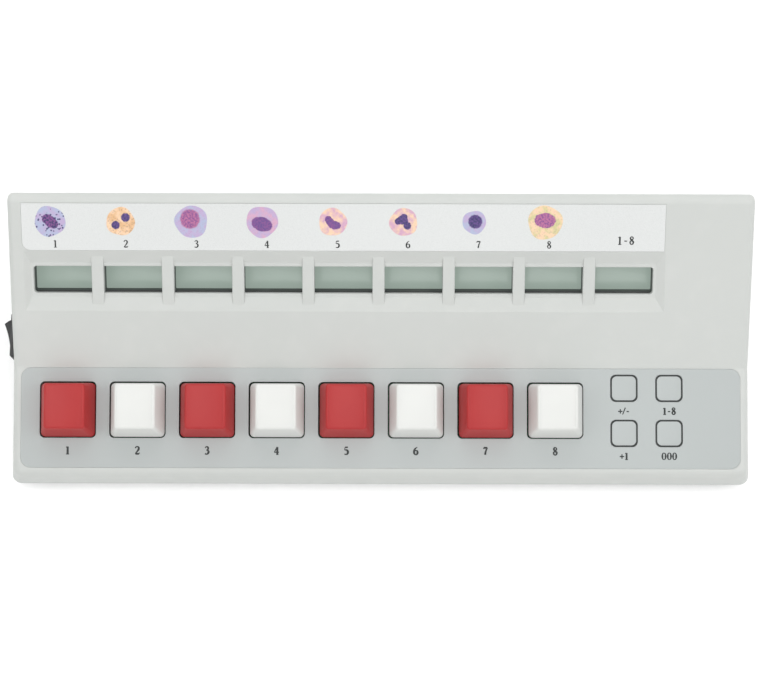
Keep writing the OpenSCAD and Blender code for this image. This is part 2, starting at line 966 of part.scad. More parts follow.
module rocker_frame() {
    opening_l = 2 * (paddle_r + paddle_play);
    opening_h = paddle_h + 2 * paddle_play;
    floor_t = 2;
    blade_t = 0.8;
    color(part_black)
        at_rocker()
            difference() {
                union() {
                    hull() {
                        linear_extrude(bezel_t - 0.9)
                            rounded_rect(bezel_l, bezel_h, bezel_corner);
                        linear_extrude(bezel_t)
                            rounded_rect(bezel_l - 1.8, bezel_h - 1.8, bezel_corner - 0.6);
                    }
                    translate([0, 0, -frame_depth])
                        linear_extrude(frame_depth + 0.5)
                            square([frame_l, frame_h], center = true);
                    // snap wings behind the wall
                    for (s = [-1, 1])
                        translate([s * frame_l / 2, 2, -wall - 3])
                            rotate([90, 0, 0])
                                linear_extrude(4)
                                    polygon([[0, 0], [s * 0.7, 3], [0, 3]]);
                    // two terminal blades
                    for (s = [-1, 1])
                        translate([s * 3.5 - blade_t / 2, -2.4, -frame_depth - 7])
                            cube([blade_t, 4.8, 7.5]);
                }
                translate([0, 0, -frame_depth + floor_t])
                    linear_extrude(frame_depth + 5)
                        square([opening_l, opening_h], center = true);
                // pivot holes
                translate([0, frame_h / 2 + 1, -pivot_in])
                    rotate([90, 0, 0])
                        cylinder(d = pivot_d + 2 * pivot_play, h = frame_h + 2);
            }
}

// Paddle in its rest position: rear end out, front end pressed in
module rocker() {
    face_end = 4.13;
    face_mid = 3.6;
    end_x = sqrt(paddle_r * paddle_r - face_end * face_end);
    sag = face_end - face_mid;
    face_r = (end_x * end_x + sag * sag) / (2 * sag);
    inner_reach = 4.5;
    color(part_black)
        at_rocker()
            translate([0, 0, -pivot_in])
                rotate([0, -rocker_swing / 2, 0]) {
                    rotate([90, 0, 0])
                        translate([0, 0, -paddle_h / 2])
                            linear_extrude(paddle_h)
                                difference() {
                                    circle(paddle_r, $fn = 96);
                                    translate([0, face_mid + face_r])
                                        circle(face_r, $fn = 180);
                                    translate([-10, -10 - inner_reach])
                                        square([20, 10]);
                                }
                    rotate([90, 0, 0])
                        translate([0, 0, -frame_h / 2 + 0.2])
                            cylinder(d = pivot_d, h = frame_h - 0.4);
                }
}

// ---------------------------------------------------------------- feet and screws

module rubber_feet() {
    color([0.15, 0.15, 0.15])
        for (p = foot_places)
            translate([p[0], p[1], 0]) {
                cylinder(d1 = foot_d - 1, d2 = foot_d, h = 0.6);
                translate([0, 0, 0.6])
                    cylinder(d = foot_d, h = foot_h + foot_sink - 0.6);
            }
}

// Screw with its head's seat at z = 0 and its shank upward
module screw() {
    translate([0, 0, -screw_head_h])
        cylinder(d = screw_head_d, h = screw_head_h);
    cylinder(d = screw_shank_d, h = screw_len);
}

module screws() {
    color(steel) {
        for (x = case_boss_x, y = [case_boss_front, case_boss_rear])
            translate([x, y, parting_z - shoulder_t])
                screw();
        for (x = key_board_screw_x, v = key_board_screw_v)
            on_deck()
                translate([x, v, board_top - board_t])
                    screw();
        for (x = display_screw_x, d = display_screw_d)
            on_display()
                translate([x, d, display_board_top - board_t])
                    screw();
    }
}

// ---------------------------------------------------------------- battery

module battery_door() {
    ridge_w = 1;
    top_z = foot_h + door_t - 0.1;
    color(housing_grey)
        intersection() {
            tray_block();
            difference() {
                union() {
                    translate([bay_x - door_half + door_play, door_front + door_play, foot_h - 1])
                        cube([2 * (door_half - door_play), rear_y, top_z - foot_h + 1]);
                    translate([bay_x - door_half - groove_reach + door_play, door_front + door_play,
                               groove_low + 0.1])
                        cube([2 * (door_half + groove_reach - door_play), rear_y, top_z - groove_low - 0.1]);
                }
                // finger grooves near the rear edge
                for (k = [0:4])
                    translate([bay_x - 9, rear_y - 8 - 2 * k, foot_h - 1])
                        cube([18, ridge_w, 1.4]);
            }
        }
}

// Cell lying along X with its nub toward +x or -x
module cell(side) {
    rotate([0, side * 90, 0]) {
        translate([0, 0, -cell_l / 2])
            cylinder(d = cell_d, h = cell_l);
        translate([0, 0, cell_l / 2])
            cylinder(d = nub_d, h = nub_l);
    }
}

// Middle of the cell and of its contacts: k = 0 is the cell nearer the user
function cell_y(k) = bay_front + bay_w / 2 + (k - 0.5) * cell_pitch;
function cell_side(k) = k == 0 ? 1 : -1;
function cell_shift() = bay_l / 2 - contact_t - contact_bump - nub_l - cell_l / 2;

module battery_cells() {
    color([0.20, 0.22, 0.26])
        for (k = [0, 1])
            translate([bay_x + cell_side(k) * cell_shift(), cell_y(k), cell_z])
                cell(cell_side(k));
}

// Plates at the bay's ends: a bump meets each nub and a coil presses on each flat end
module battery_contacts() {
    coil_l = bay_l - 2 * contact_t - contact_bump - nub_l - cell_l;
    color(steel)
        for (k = [0, 1], side = [-1, 1])
            translate([bay_x + side * bay_l / 2, cell_y(k), cell_z])
                rotate([0, -side * 90, 0]) {
                    translate([-contact_side / 2, -contact_side / 2, 0])
                        cube([contact_side, contact_side, contact_t]);
                    if (side == cell_side(k))
                        cylinder(d = nub_d, h = contact_t + contact_bump);
                    else
                        cylinder(r1 = 4.5, r2 = 2.6, h = contact_t + coil_l);
                }
}

bottom_cover();
top_cover();
deck_overlay();
label_strip();
display_board();
key_board();
tact_switches();
board_ribbon();
for (i = [0:window_count - 1])
    lcd(i);
for (i = [0:key_count - 1]) {
    switch_housing(i);
    key_spring(i);
    key_stem(i);
    keycap(i);
}
for (i = [0:3])
    function_pad(i);
rocker_frame();
rocker();
rubber_feet();
screws();
battery_door();
battery_cells();
battery_contacts();
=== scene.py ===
"""Differential cell counter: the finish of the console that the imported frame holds.

Metres, in the frame's own axes: X along the width, -Y toward the user, Z up.
"""

import math

import bmesh
import bpy
from mathutils import Matrix, Vector


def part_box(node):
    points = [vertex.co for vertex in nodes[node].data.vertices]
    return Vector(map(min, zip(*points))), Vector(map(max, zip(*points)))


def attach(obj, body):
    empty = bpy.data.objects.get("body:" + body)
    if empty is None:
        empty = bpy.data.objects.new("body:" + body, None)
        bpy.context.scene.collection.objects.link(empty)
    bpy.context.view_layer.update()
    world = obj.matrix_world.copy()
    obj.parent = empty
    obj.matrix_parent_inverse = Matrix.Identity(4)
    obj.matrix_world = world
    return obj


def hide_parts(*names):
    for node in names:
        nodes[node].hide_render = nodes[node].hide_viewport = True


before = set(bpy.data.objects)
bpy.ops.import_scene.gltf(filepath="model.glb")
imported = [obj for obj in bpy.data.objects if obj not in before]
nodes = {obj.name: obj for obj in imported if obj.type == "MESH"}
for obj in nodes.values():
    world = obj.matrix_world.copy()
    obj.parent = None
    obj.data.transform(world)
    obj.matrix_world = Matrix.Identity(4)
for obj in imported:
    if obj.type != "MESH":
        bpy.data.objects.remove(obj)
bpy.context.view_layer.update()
MM = 0.001


# ---------------------------------------------------------------- Covers
# Top and bottom cover: two injection mouldings in pale grey ABS, screwed together
# from below. The spark-eroded mould leaves an even fine grain, and faint rub marks
# scattered in soft patches are a little smoother and lighter.


def srgb(red, green, blue):
    """Colour of a paint sample given in the usual 0 to 255 values."""

    def linear(value):
        share = value / 255
        return share / 12.92 if share <= 0.04045 else ((share + 0.055) / 1.055) ** 2.4

    return (linear(red), linear(green), linear(blue), 1)


def shade(colour, factor):
    """The colour made lighter or darker by a factor."""
    return tuple(min(1, factor * part) for part in colour[:3]) + (1,)


class Wire:
    """A value on its way through a finish; arithmetic on it adds Math nodes."""

    def __init__(self, finish, socket):
        self.finish = finish
        self.socket = socket

    def math(self, operation, first, second=0.0, clamp=False):
        settings = {"operation": operation, "use_clamp": clamp}
        return self.finish.node("ShaderNodeMath", settings, {0: first, 1: second})

    def __add__(self, other):
        return self.math("ADD", self, other)

    def __sub__(self, other):
        return self.math("SUBTRACT", self, other)

    def __rsub__(self, other):
        return self.math("SUBTRACT", other, self)

    def __mul__(self, other):
        return self.math("MULTIPLY", self, other)

    def __lt__(self, other):
        return self.math("LESS_THAN", self, other)

    __radd__ = __add__
    __rmul__ = __mul__

    def clamped(self):
        """The value held between 0 and 1."""
        return self.math("MULTIPLY", self, 1.0, clamp=True)

    def rising(self, low, high):
        """0 below low, 1 above high, and a soft step between them."""
        settings = {"interpolation_type": "SMOOTHSTEP"}
        return self.finish.node("ShaderNodeMapRange", settings, {0: self, 1: low, 2: high})


class Finish:
    """A surface finish: one principled shader and the nodes that vary it."""

    def __init__(self, name, **fixed):
        self.material = bpy.data.materials.new(name)
        self.material.use_nodes = True
        self.tree = self.material.node_tree
        self.shader = self.tree.nodes["Principled BSDF"]
        for socket, value in fixed.items():
            self.shader.inputs[socket.replace("_", " ")].default_value = value
        self.place = self.node("ShaderNodeTexCoord", out="Object")

    def node(self, kind, settings=None, values=None, out=0):
        """Adds a node: its settings first, then the values or links of its sockets."""
        made = self.tree.nodes.new(kind)
        for key, value in (settings or {}).items():
            setattr(made, key, value)
        for key, value in (values or {}).items():
            if isinstance(value, Wire):
                self.tree.links.new(value.socket, made.inputs[key])
            else:
                made.inputs[key].default_value = value
        return Wire(self, made.outputs[out])

    def feed(self, socket, wire):
        """Leads a wire into one of the shader's sockets."""
        self.tree.links.new(wire.socket, self.shader.inputs[socket])

    def cloud(self, size, detail=2.0, place=None):
        """Soft noise from 0 to 1 with features of about that size."""
        values = {"Vector": place or self.place, "Scale": 1 / size, "Detail": detail}
        return self.node("ShaderNodeTexNoise", None, values)

    def mixed(self, share, first, second):
        """The first colour, and the second where the share is 1."""
        return self.node(
            "ShaderNodeMix",
            {"data_type": "RGBA"},
            {0: share, 6: first, 7: second},
            out=2,
        )

    def surface(self, relief, depth, edge=0.0):
        """Raises the relief by a depth; edge rounds the shading of sharp edges."""
        values = {"Height": relief, "Strength": 1.0, "Distance": depth}
        if edge:
            values["Normal"] = self.node("ShaderNodeBevel", {"samples": 4}, {"Radius": edge})
        self.feed("Normal", self.node("ShaderNodeBump", None, values))


def moulded_plastic(name, colour, worn, roughness, grain, depth, edge):
    """Moulded plastic: spark grain, flow clouds, and faint rub marks in the gloss."""
    finish = Finish(name, IOR=1.5)
    spark = finish.cloud(grain, detail=3.0)
    flow = finish.cloud(60 * MM, detail=1.0)
    rub = finish.cloud(9 * MM, detail=4.0).rising(0.45, 0.75)
    tint = (flow * 0.6 + rub * 0.3).clamped()
    finish.feed("Base Color", finish.mixed(tint, colour, worn))
    finish.feed("Roughness", roughness + (spark - 0.5) * 0.10 - rub * 0.05)
    finish.surface(spark, depth, edge)
    return finish.material


def dress(node, material):
    """Gives a node of the frame its finish."""
    mesh = nodes[node].data
    mesh.materials.clear()
    mesh.materials.append(material)


housing_abs = moulded_plastic(
    "housing_abs",
    colour=srgb(184, 187, 184),
    worn=srgb(190, 192, 189),
    roughness=0.52,
    grain=0.45 * MM,
    depth=0.02 * MM,
    edge=0.5 * MM,
)
dress("top_cover", housing_abs)
dress("bottom_cover", housing_abs)


# ---------------------------------------------------------------- Films
# Deck overlay: a printed polycarbonate film, 0.4 mm thick, glued in a shallow bed
# around the keys. The label above the windows is a thinner glossy white film.


def printed_film(name, colour, roughness, pebble, depth):
    """Back-printed plastic film with a fine velvet pebble on its face."""
    finish = Finish(name, IOR=1.55)
    velvet = finish.cloud(pebble, detail=1.0)
    drift = finish.cloud(90 * MM, detail=0.0)
    finish.feed("Base Color", finish.mixed(drift, colour, shade(colour, 1.06)))
    finish.feed("Roughness", roughness + (velvet - 0.5) * 0.12)
    finish.surface(velvet, depth)
    return finish.material


film_grey = srgb(160, 165, 164)
deck_film = printed_film("deck_film", film_grey, 0.36, 0.25 * MM, 0.006 * MM)
label_film = printed_film("label_film", srgb(201, 203, 202), 0.28, 0.3 * MM, 0.002 * MM)
dress("deck_overlay", deck_film)
dress("label_strip", label_film)


# ---------------------------------------------------------------- Key switches
# Under each key: a black nylon housing on the board, a brown slider with a cross on
# top, and a wound spring of stainless wire that lifts the key again.

KEY_COUNT = 8

black_nylon = moulded_plastic(
    "black_nylon",
    colour=srgb(34, 35, 36),
    worn=srgb(46, 47, 48),
    roughness=0.45,
    grain=0.3 * MM,
    depth=0.01 * MM,
    edge=0.25 * MM,
)
slider_acetal = moulded_plastic(
    "slider_acetal",
    colour=srgb(120, 74, 40),
    worn=srgb(136, 88, 52),
    roughness=0.35,
    grain=0.4 * MM,
    depth=0.005 * MM,
    edge=0.2 * MM,
)
for number in range(1, KEY_COUNT + 1):
    dress(f"switch_housing_{number}", black_nylon)
    dress(f"key_stem_{number}", slider_acetal)


def brushed_steel(name, colour, roughness, grain):
    """Drawn or pressed steel with fine marks in its gloss."""
    finish = Finish(name, Metallic=1.0)
    marks = finish.cloud(grain, detail=4.0)
    stain = finish.cloud(6 * MM)
    finish.feed("Base Color", finish.mixed(stain, colour, shade(colour, 0.8)))
    finish.feed("Roughness", roughness + (marks - 0.5) * 0.15)
    finish.surface(marks, 0.003 * MM)
    return finish.material


spring_steel = brushed_steel("spring_steel", srgb(190, 190, 192), 0.25, 0.2 * MM)
for number in range(1, KEY_COUNT + 1):
    dress(f"key_spring_{number}", spring_steel)


# ---------------------------------------------------------------- Key caps
# Eight big caps moulded in red and white ABS, pressed on the sliders: an upright
# skirt, a steep front, sloping sides and a satin top dished across its width.

CAP_SIDE = 24.1 * MM
CAP_TOP_WIDTH = 17.8 * MM
CAP_BACK_LEAN = 0.6 * MM
CAP_FRONT_LEAN = 3.6 * MM
CAP_SKIRT_LOW = -1.5 * MM
CAP_SHOULDER = 0.7 * MM
CAP_HEIGHT = 12.7 * MM
CAP_CORNER = 2.0 * MM
CAP_DISH = 0.8 * MM
CAP_EDGE = 1.0 * MM
CAP_SHOULDER_EDGE = 0.5 * MM
CAP_SHELL = 1.4 * MM
CAP_STRIPS = 10
# How far the caps stand off the middle of their openings, along x and up the slope
CAP_PLAY = (0.15 * MM, -0.12 * MM)
# The moulded deck under the film, seen from the film's upper face
DECK_LEVEL = -0.1 * MM
# Lengths that differ by less than this are the same
TOUCH = 0.001 * MM


def only(piece):
    """Makes a piece the one selected and active object."""
    bpy.ops.object.select_all(action="DESELECT")
    piece.select_set(True)
    bpy.context.view_layer.objects.active = piece


def pick(kind, test):
    """Selects, in edit mode, just the faces or edges that pass the test."""
    bpy.ops.mesh.select_all(action="DESELECT")
    bpy.ops.mesh.select_mode(type=kind)
    sheet = bmesh.from_edit_mesh(bpy.context.edit_object.data)
    for part in sheet.faces if kind == "FACE" else sheet.edges:
        if test(part):
            part.select_set(True)
    sheet.select_flush_mode()
    bmesh.update_edit_mesh(bpy.context.edit_object.data)


def rounded_plate(name, width, length, corner, height, segments):
    """Starts a piece in edit mode: a flat plate with rounded corners at a height."""
    bpy.ops.object.select_all(action="DESELECT")
    bpy.ops.mesh.primitive_plane_add(size=1, location=(0, 0, 0))
    piece = bpy.context.object
    piece.name = name
    bpy.ops.object.mode_set(mode="EDIT")
    bpy.ops.mesh.select_all(action="SELECT")
    bpy.ops.transform.resize(value=(width, length, 1))
    bpy.ops.transform.translate(value=(0, 0, height))
    bpy.ops.mesh.bevel(offset=corner, segments=segments, affect="VERTICES", profile=0.5)
    return piece


def raise_face(rise, scale=(1, 1, 1), shift=0.0):
    """Extrudes the selected plate upward, narrowed about its middle and shifted back."""
    bpy.ops.mesh.extrude_region_move(TRANSFORM_OT_translate={"value": (0, shift, rise)})
    sheet = bmesh.from_edit_mesh(bpy.context.edit_object.data)
    picked = [corner.co for corner in sheet.verts if corner.select]
    middle = sum(picked, Vector()) / len(picked)
    bpy.ops.transform.resize(value=scale, center_override=middle)


def finish_mesh(piece, angle=35):
    """Closes the edit: outward normals, then smooth shading below the angle."""
    bpy.ops.object.mode_set(mode="EDIT")
    bpy.ops.mesh.select_all(action="SELECT")
    bpy.ops.mesh.remove_doubles(threshold=TOUCH)
    bpy.ops.mesh.normals_make_consistent(inside=False)
    bpy.ops.object.mode_set(mode="OBJECT")
    only(piece)
    bpy.ops.object.shade_smooth_by_angle(angle=math.radians(angle))


def apply_modifier(piece, kind, **settings):
    """Adds one modifier with its settings and applies it."""
    only(piece)
    added = piece.modifiers.new(kind.lower(), kind)
    for key, value in settings.items():
        setattr(added, key, value)
    bpy.ops.object.modifier_apply(modifier=added.name)


def level_edge(edge, height):
    """True for an edge that lies level at a height."""
    return all(abs(corner.co.z - height) < TOUCH for corner in edge.verts)


def rim_edge(edge, height):
    """True for an edge above a height where a steep face meets a flat one."""
    if any(corner.co.z < height for corner in edge.verts) or len(edge.link_faces) != 2:
        return False
    flats = [face.normal.z > 0.9 for face in edge.link_faces]
    return flats[0] != flats[1]


def cap_master():
    """One key cap about its own middle, with z = 0 at the deck's face."""
    top_length = CAP_SIDE - CAP_BACK_LEAN - CAP_FRONT_LEAN
    cap = rounded_plate("cap_master", CAP_SIDE, CAP_SIDE, CAP_CORNER, CAP_SKIRT_LOW, 7)
    raise_face(CAP_SHOULDER - CAP_SKIRT_LOW)
    raise_face(
        CAP_HEIGHT - CAP_SHOULDER,
        scale=(CAP_TOP_WIDTH / CAP_SIDE, top_length / CAP_SIDE, 1),
        shift=(CAP_FRONT_LEAN - CAP_BACK_LEAN) / 2,
    )
    for strip in range(1, CAP_STRIPS):
        pick("FACE", lambda face: face.calc_center_median().z > CAP_HEIGHT - TOUCH)
        cut_x = CAP_TOP_WIDTH * (strip / CAP_STRIPS - 0.5)
        bpy.ops.mesh.bisect(plane_co=(cut_x, 0, 0), plane_no=(1, 0, 0))
    dish_radius = ((CAP_TOP_WIDTH / 2) ** 2 + CAP_DISH**2) / (2 * CAP_DISH)
    sheet = bmesh.from_edit_mesh(cap.data)
    for corner in sheet.verts:
        if corner.co.z > CAP_HEIGHT - TOUCH:
            fall = dish_radius - math.sqrt(dish_radius**2 - corner.co.x**2)
            corner.co.z = CAP_HEIGHT - CAP_DISH + fall
    bmesh.update_edit_mesh(cap.data)
    pick("EDGE", lambda edge: rim_edge(edge, CAP_HEIGHT - CAP_DISH - 0.1 * MM))
    bpy.ops.mesh.bevel(offset=CAP_EDGE, segments=5, profile=0.5)
    pick("EDGE", lambda edge: level_edge(edge, CAP_SHOULDER))
    bpy.ops.mesh.bevel(offset=CAP_SHOULDER_EDGE, segments=3, profile=0.5)
    pick("FACE", lambda face: face.normal.z < -0.9)
    bpy.ops.mesh.delete(type="FACE")
    finish_mesh(cap)
    apply_modifier(cap, "SOLIDIFY", thickness=CAP_SHELL, offset=-1, use_even_offset=True)
    only(cap)
    bpy.ops.object.shade_smooth_by_angle(angle=math.radians(35))
    return cap


def face_frame(node):
    """Frame on a film's upper face: x along it, y up its slope, z square to it."""
    mesh = nodes[node].data
    upper = max(mesh.polygons, key=lambda face: face.area * face.normal.z)
    out = upper.normal.normalized()
    along = Vector((1, 0, 0))
    up = out.cross(along).normalized()
    spots = [corner.co for corner in mesh.vertices]
    spread = [[spot.dot(axis) for spot in spots] for axis in (along, up)]
    middle = [(min(values) + max(values)) / 2 for values in spread]
    level = max(spot.dot(out) for spot in spots)
    origin = along * middle[0] + up * middle[1] + out * level
    axes = Matrix((along, up, out)).transposed()
    return Matrix.Translation(origin) @ axes.to_4x4()


def on_face(face, x, y, z=0.0):
    """The face's frame moved to a point given in it."""
    return face @ Matrix.Translation((x, y, z))


def settle(piece, place, body="console"):
    """Fixes a piece's place in its mesh and lets it ride on a body."""
    piece.data.transform(place)
    piece.data.update()
    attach(piece, body)
    return piece


def copy_of(master, name, material):
    """A copy with its own mesh and finish."""
    piece = master.copy()
    piece.data = master.data.copy()
    piece.name = name
    piece.data.materials.clear()
    piece.data.materials.append(material)
    bpy.context.scene.collection.objects.link(piece)
    return piece


def key_plastic(name, colour, lighter):
    """Satin ABS of a key cap: a fine grain and the faint clouds of its flow."""
    finish = Finish(name, IOR=1.5)
    grain = finish.cloud(0.3 * MM, detail=2.0)
    flow = finish.cloud(14 * MM, detail=1.0)
    finish.feed("Base Color", finish.mixed(flow, colour, lighter))
    finish.feed("Roughness", 0.46 + (grain - 0.5) * 0.12)
    finish.surface(grain, 0.008 * MM)
    return finish.material


red_plastic = key_plastic("red_plastic", srgb(158, 20, 24), srgb(165, 28, 28))
white_plastic = key_plastic("white_plastic", srgb(205, 206, 203), srgb(210, 211, 208))

deck_face = face_frame("deck_overlay")


def spot_on(face, node):
    """Middle of a node seen square to a face, in the face's own x and y."""
    inward = face.inverted()
    spots = [inward @ corner.co for corner in nodes[node].data.vertices]
    across = [spot.x for spot in spots]
    along = [spot.y for spot in spots]
    return (min(across) + max(across)) / 2, (min(along) + max(along)) / 2


cap = cap_master()
key_spots = [spot_on(deck_face, f"key_spring_{number}") for number in range(1, KEY_COUNT + 1)]
for number, (x, y) in enumerate(key_spots, 1):
    colour = "red" if number % 2 else "white"
    material = red_plastic if number % 2 else white_plastic
    piece = copy_of(cap, f"cap_{number}", material)
    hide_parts(f"keycap_{number}")
    place = on_face(deck_face, x + CAP_PLAY[0], y + CAP_PLAY[1], DECK_LEVEL)
    settle(piece, place, f"key_{number}")
bpy.data.objects.remove(cap)


# ---------------------------------------------------------------- Film keys
# Four small keys: pillowed tiles of the deck's own film colour, each with a dark
# outline printed round it, on a post that presses a switch on the board.

PAD_COUNT = 4
PAD_CORNER = 2.4 * MM
PAD_DEPTH = 1.1 * MM
PAD_LEVEL = 0.08 * MM
PAD_RING = 0.65 * MM
PAD_CROWN = 0.17 * MM
PAD_SWELL = (0.97, 0.92, 0.84, 0.72, 0.56, 0.34)

ink_grey = srgb(26, 31, 30)


def print_ink(name, colour):
    """Screen-printed ink: slightly uneven cover and a soft gloss."""
    finish = Finish(name, IOR=1.5)
    cover = finish.cloud(0.5 * MM, detail=2.0)
    finish.feed("Base Color", finish.mixed(cover, colour, shade(colour, 1.25)))
    finish.feed("Roughness", 0.42 + cover * 0.1)
    finish.surface(cover, 0.003 * MM)
    return finish.material


dark_ink = print_ink("dark_ink", ink_grey)
pad_low, pad_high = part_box("function_pad_1")
PAD_SIDE = pad_high.x - pad_low.x


def pad_master():
    """One film key: upright rim, printed flat ring, and a low pillow inside it."""
    pad = rounded_plate("pad_master", PAD_SIDE, PAD_SIDE, PAD_CORNER, -PAD_DEPTH, 8)
    raise_face(PAD_DEPTH)
    inner = 1 - 2 * PAD_RING / PAD_SIDE
    raise_face(0, scale=(inner, inner, 1))
    last = 1
    for share in PAD_SWELL:
        narrower = share / last
        raise_face(PAD_CROWN * (last**4 - share**4), scale=(narrower, narrower, 1))
        last = share
    finish_mesh(pad, angle=50)
    return pad


pad = pad_master()
for number in range(1, PAD_COUNT + 1):
    x, y = spot_on(deck_face, f"function_pad_{number}")
    piece = copy_of(pad, f"pad_{number}", deck_film)
    piece.data.materials.append(dark_ink)
    for face in piece.data.polygons:
        printed = abs(face.center.z) < TOUCH and face.normal.z > 0.9
        face.material_index = 1 if printed else 0
    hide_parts(f"function_pad_{number}")
    settle(piece, on_face(deck_face, x, y, PAD_LEVEL), f"film_key_{number}")
bpy.data.objects.remove(pad)


# ---------------------------------------------------------------- Printing
# Plain digits and signs printed on the films, drawn with a broad pen: thick stems,
# thin joins. Each stroke lists its points as x, y and half width, in digit heights.

INK_THICKNESS = 0.02 * MM
STROKES = {
    "1": [
        [(0.02, 0.45, 0.08), (0.02, -0.45, 0.08)],
        [(-0.17, 0.34, 0.03), (-0.02, 0.43, 0.05)],
        [(-0.17, -0.465, 0.035), (0.21, -0.465, 0.035)],
    ],
    "2": [
        [
            (-0.22, 0.26, 0.06),
            (-0.13, 0.42, 0.045),
            (0.05, 0.45, 0.05),
            (0.19, 0.27, 0.085),
            (0.12, 0.04, 0.075),
            (-0.23, -0.40, 0.035),
        ],
        [(-0.23, -0.42, 0.045), (0.0, -0.42, 0.07), (0.22, -0.42, 0.065)],
        [(0.22, -0.42, 0.05), (0.27, -0.26, 0.03)],
    ],
    "3": [
        [
            (-0.20, 0.30, 0.05),
            (-0.08, 0.44, 0.045),
            (0.08, 0.43, 0.06),
            (0.16, 0.27, 0.08),
            (0.08, 0.11, 0.05),
            (-0.06, 0.05, 0.035),
        ],
        [
            (-0.06, 0.05, 0.035),
            (0.12, 0.0, 0.06),
            (0.21, -0.18, 0.09),
            (0.10, -0.38, 0.07),
            (-0.08, -0.45, 0.045),
            (-0.22, -0.36, 0.06),
        ],
    ],
    "4": [
        [(0.10, 0.44, 0.06), (-0.27, -0.17, 0.03)],
        [(-0.28, -0.19, 0.045), (0.29, -0.19, 0.045)],
        [(0.10, 0.44, 0.075), (0.10, -0.45, 0.08)],
        [(-0.04, -0.47, 0.03), (0.24, -0.47, 0.03)],
    ],
    "5": [
        [(-0.13, 0.42, 0.06), (0.21, 0.43, 0.06)],
        [(-0.14, 0.42, 0.035), (-0.18, 0.09, 0.035)],
        [
            (-0.18, 0.08, 0.03),
            (0.02, 0.11, 0.06),
            (0.20, -0.06, 0.085),
            (0.18, -0.29, 0.085),
            (0.02, -0.43, 0.05),
            (-0.20, -0.40, 0.055),
        ],
    ],
    "6": [
        [
            (0.18, 0.45, 0.03),
            (-0.06, 0.30, 0.055),
            (-0.20, 0.0, 0.085),
            (-0.17, -0.30, 0.08),
            (0.0, -0.45, 0.045),
            (0.18, -0.31, 0.08),
            (0.19, -0.08, 0.08),
            (0.04, 0.08, 0.04),
            (-0.15, -0.03, 0.04),
        ],
    ],
    "7": [
        [(-0.21, 0.41, 0.07), (0.23, 0.41, 0.07)],
        [(-0.24, 0.25, 0.03), (-0.21, 0.41, 0.045)],
        [(0.22, 0.40, 0.05), (0.04, 0.02, 0.065), (-0.05, -0.44, 0.08)],
    ],
    "8": [
        [
            (0.0, 0.45, 0.045),
            (-0.16, 0.28, 0.07),
            (0.0, 0.05, 0.08),
            (0.19, -0.21, 0.08),
            (0.0, -0.45, 0.045),
            (-0.19, -0.21, 0.07),
            (0.0, 0.05, 0.045),
            (0.16, 0.28, 0.06),
        ],
    ],
    "0": [
        [(0.0, 0.45, 0.035), (-0.22, 0.0, 0.08), (0.0, -0.45, 0.035), (0.22, 0.0, 0.08)],
    ],
    "-": [[(-0.16, -0.06, 0.05), (0.16, -0.06, 0.05)]],
    "+": [
        [(-0.3, -0.04, 0.05), (0.3, -0.04, 0.05)],
        [(0.0, -0.34, 0.05), (0.0, 0.26, 0.05)],
    ],
    "/": [[(0.19, 0.47, 0.045), (-0.19, -0.47, 0.045)]],
}
CLOSED_SIGNS = "80"


def pen_sign(signs, name, height, spacing, weight):
    """A row of signs about its own middle, as one thin sheet of ink."""
    drawing = bpy.data.curves.new(name, "CURVE")
    drawing.dimensions = "3D"
    drawing.bevel_depth = 1.0
    drawing.bevel_resolution = 2
    drawing.resolution_u = 5
    drawing.use_fill_caps = True
    start = -(len(signs) - 1) * spacing / 2
    for place, sign in enumerate(signs):
        for stroke in STROKES[sign]:
            line = drawing.splines.new("BEZIER")
            line.bezier_points.add(len(stroke) - 1)
            line.use_cyclic_u = sign in CLOSED_SIGNS
            for point, (x, y, half_width) in zip(line.bezier_points, stroke):
                point.co = ((x + start + place * spacing) * height, y * height, 0)
                point.handle_left_type = "AUTO"
                point.handle_right_type = "AUTO"
                point.radius = half_width * height * weight
    piece = bpy.data.objects.new(name, drawing)
    bpy.context.scene.collection.objects.link(piece)
    only(piece)
    bpy.ops.object.convert(target="MESH")
    piece = bpy.context.object
    thickest = max(corner.co.z for corner in piece.data.vertices)
    piece.data.transform(Matrix.Diagonal((1, 1, INK_THICKNESS / thickest, 1)))
    piece.data.materials.append(dark_ink)
    return piece


def print_on(face, signs, name, x, y, height, spacing=0.55, weight=1.6):
    """Prints a row of signs on a face, centred on a point of it."""
    piece = pen_sign(signs, name, height, spacing, weight)
    return settle(piece, on_face(face, x, y, INK_THICKNESS / 2))


DIGIT_HEIGHT = 3.7 * MM
DIGIT_DROP = 18.2 * MM
for number, (x, y) in enumerate(key_spots, 1):
    print_on(deck_face, str(number), f"deck_digit_{number}", x, y - DIGIT_DROP, DIGIT_HEIGHT)

SIGN_HEIGHT = 3.3 * MM
SIGN_DROP = 10.2 * MM
PAD_SIGNS = {1: ("+/-", 0.5), 2: ("1-8", 0.62), 3: ("+1", 0.6), 4: ("000", 0.72)}
for number, (signs, spacing) in PAD_SIGNS.items():
    x, y = spot_on(deck_face, f"function_pad_{number}")
    place = (x, y - SIGN_DROP)
    print_on(deck_face, signs, f"deck_sign_{number}", *place, SIGN_HEIGHT, spacing)

